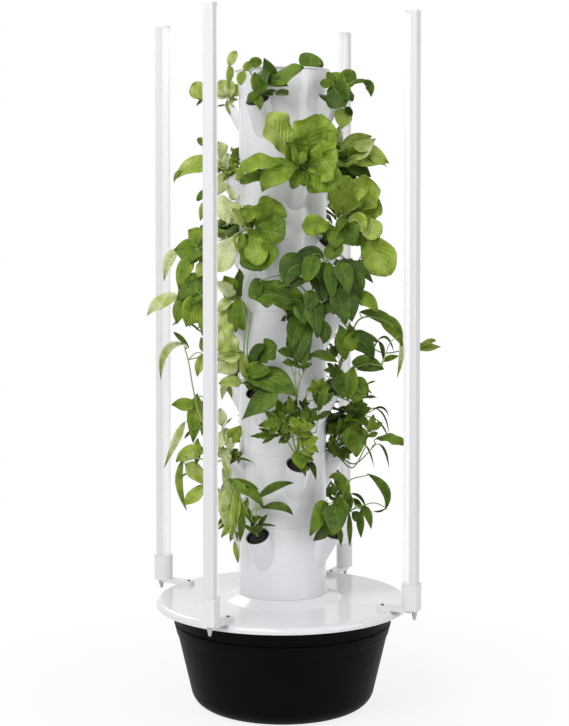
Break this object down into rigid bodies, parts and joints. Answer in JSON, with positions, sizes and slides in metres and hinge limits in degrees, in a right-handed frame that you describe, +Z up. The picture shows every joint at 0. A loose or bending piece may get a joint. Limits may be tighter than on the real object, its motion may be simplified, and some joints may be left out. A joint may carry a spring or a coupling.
{
  "type": "hydroponic tower",
  "caption": "Stacked planting tower on a round water tub, with tilted net-pot pockets full of herbs and upright light bars on bracket sockets round the lid.",
  "frame": {"origin": "centre of the tub's flat underside, on the floor, on the column's axis", "axes": "+Z up along the column; the light bars stand at -Y, +X, +Y and -X"},
  "size_m": [0.7062, 0.7062, 1.624],
  "materials": {
    "tub_black": "moulded, matte",
    "white_gloss": "moulded, glossy",
    "white_satin": "moulded, satin",
    "tube_grey": "extruded",
    "dark_steel": "blackened",
    "gland_grey": "soft, matte",
    "pump_black": "moulded, matte",
    "soft_rubber": "soft, matte",
    "shaft_steel": "ground",
    "impeller_plastic": "moulded",
    "pot_black": "moulded, matte",
    "leaf_green": "living leaves",
    "bar_aluminium": "white anodised",
    "diffuser_white": "clear, frosted",
    "strip_white": "printed circuit"
  },
  "bodies": {
    "reservoir": {"reservoir": "tub_black", "riser_tube": "tube_grey", "pump_housing": "pump_black", "pump_intake_cover": "pump_black", "pump_suction_cups": "soft_rubber", "rotor_shaft": "shaft_steel"},
    "impeller": {"impeller": "impeller_plastic"},
    "lid": {"lid": "white_gloss", "bracket_screws": "dark_steel", "cord_glands": "gland_grey", "light_bracket_1": "white_satin", "light_bracket_2": "white_satin", "light_bracket_3": "white_satin", "light_bracket_4": "white_satin"},
    "fill_cap": {"fill_cap": "white_gloss"},
    "top_cap": {"top_cap": "white_gloss"},
    "section_1": {"tower_section_1": "white_gloss", "net_pots_1": "pot_black", "plants_1": "leaf_green"},
    "section_2": {"tower_section_2": "white_gloss", "net_pots_2": "pot_black", "plants_2": "leaf_green"},
    "section_3": {"tower_section_3": "white_gloss", "net_pots_3": "pot_black", "plants_3": "leaf_green"},
    "section_4": {"tower_section_4": "white_gloss", "net_pots_4": "pot_black", "plants_4": "leaf_green"},
    "section_5": {"tower_section_5": "white_gloss", "net_pots_5": "pot_black", "plants_5": "leaf_green"},
    "section_6": {"tower_section_6": "white_gloss", "net_pots_6": "pot_black", "plants_6": "leaf_green"},
    "section_7": {"tower_section_7": "white_gloss", "net_pots_7": "pot_black", "plants_7": "leaf_green", "drip_plate": "white_gloss"},
    "light_bar_1": {"bar_channel_1": "bar_aluminium", "bar_diffuser_1": "diffuser_white", "led_strip_1": "strip_white", "bar_end_caps_1": "white_satin"},
    "light_bar_2": {"bar_channel_2": "bar_aluminium", "bar_diffuser_2": "diffuser_white", "led_strip_2": "strip_white", "bar_end_caps_2": "white_satin"},
    "light_bar_3": {"bar_channel_3": "bar_aluminium", "bar_diffuser_3": "diffuser_white", "led_strip_3": "strip_white", "bar_end_caps_3": "white_satin"},
    "light_bar_4": {"bar_channel_4": "bar_aluminium", "bar_diffuser_4": "diffuser_white", "led_strip_4": "strip_white", "bar_end_caps_4": "white_satin"}
  },
  "joints": [
    {"name": "impeller_spin", "type": "hinge", "parent": "reservoir", "child": "impeller", "pos_m": [0, 0, 0.042], "axis": [0, 1, 0], "continuous": true},
    {"name": "lid_lift", "type": "slide", "parent": "reservoir", "child": "lid", "axis": [0, 0, 1], "range_m": [0, 0.3]},
    {"name": "fill_cap_lift", "type": "slide", "parent": "lid", "child": "fill_cap", "axis": [0, 0, 1], "range_m": [0, 0.06]},
    {"name": "section_1_lift", "type": "slide", "parent": "lid", "child": "section_1", "axis": [0, 0, 1], "range_m": [0, 0.06]},
    {"name": "section_2_lift", "type": "slide", "parent": "section_1", "child": "section_2", "axis": [0, 0, 1], "range_m": [0, 0.06]},
    {"name": "section_3_lift", "type": "slide", "parent": "section_2", "child": "section_3", "axis": [0, 0, 1], "range_m": [0, 0.06]},
    {"name": "section_4_lift", "type": "slide", "parent": "section_3", "child": "section_4", "axis": [0, 0, 1], "range_m": [0, 0.06]},
    {"name": "section_5_lift", "type": "slide", "parent": "section_4", "child": "section_5", "axis": [0, 0, 1], "range_m": [0, 0.06]},
    {"name": "section_6_lift", "type": "slide", "parent": "section_5", "child": "section_6", "axis": [0, 0, 1], "range_m": [0, 0.06]},
    {"name": "section_7_lift", "type": "slide", "parent": "section_6", "child": "section_7", "axis": [0, 0, 1], "range_m": [0, 0.06]},
    {"name": "top_cap_lift", "type": "slide", "parent": "section_7", "child": "top_cap", "axis": [0, 0, 1], "range_m": [0, 0.08]},
    {"name": "light_bar_1_lift", "type": "slide", "parent": "lid", "child": "light_bar_1", "axis": [0, 0, 1], "range_m": [0, 0.08]},
    {"name": "light_bar_2_lift", "type": "slide", "parent": "lid", "child": "light_bar_2", "axis": [0, 0, 1], "range_m": [0, 0.08]},
    {"name": "light_bar_3_lift", "type": "slide", "parent": "lid", "child": "light_bar_3", "axis": [0, 0, 1], "range_m": [0, 0.08]},
    {"name": "light_bar_4_lift", "type": "slide", "parent": "lid", "child": "light_bar_4", "axis": [0, 0, 1], "range_m": [0, 0.08]}
  ]
}
